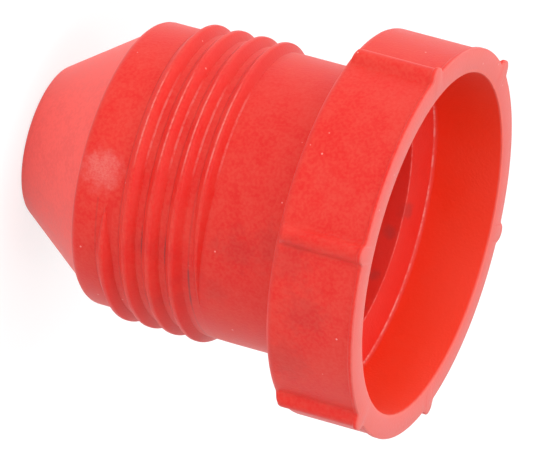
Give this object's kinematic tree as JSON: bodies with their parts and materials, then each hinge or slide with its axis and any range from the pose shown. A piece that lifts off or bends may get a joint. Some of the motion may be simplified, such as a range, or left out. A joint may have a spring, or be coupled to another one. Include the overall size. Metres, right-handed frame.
{
  "type": "threaded fitting plug",
  "caption": "Hollow one-piece plastic plug with an external thread, a blunt cone nose and a shallow ribbed cup head, used to close a flared tube fitting.",
  "frame": {"origin": "centre of the flat nose end, which the plug stands on", "axes": "+Z along the plug's axis, from the flat nose up to the open mouth of the head; +X through the middle of one grip rib"},
  "size_m": [0.03, 0.0284, 0.0297],
  "materials": {
    "red_plastic": "satin as-moulded red polyethylene, slightly translucent, with a fine grain"
  },
  "bodies": {
    "root": {"threaded_plug": "red_plastic"}
  },
  "joints": []
}
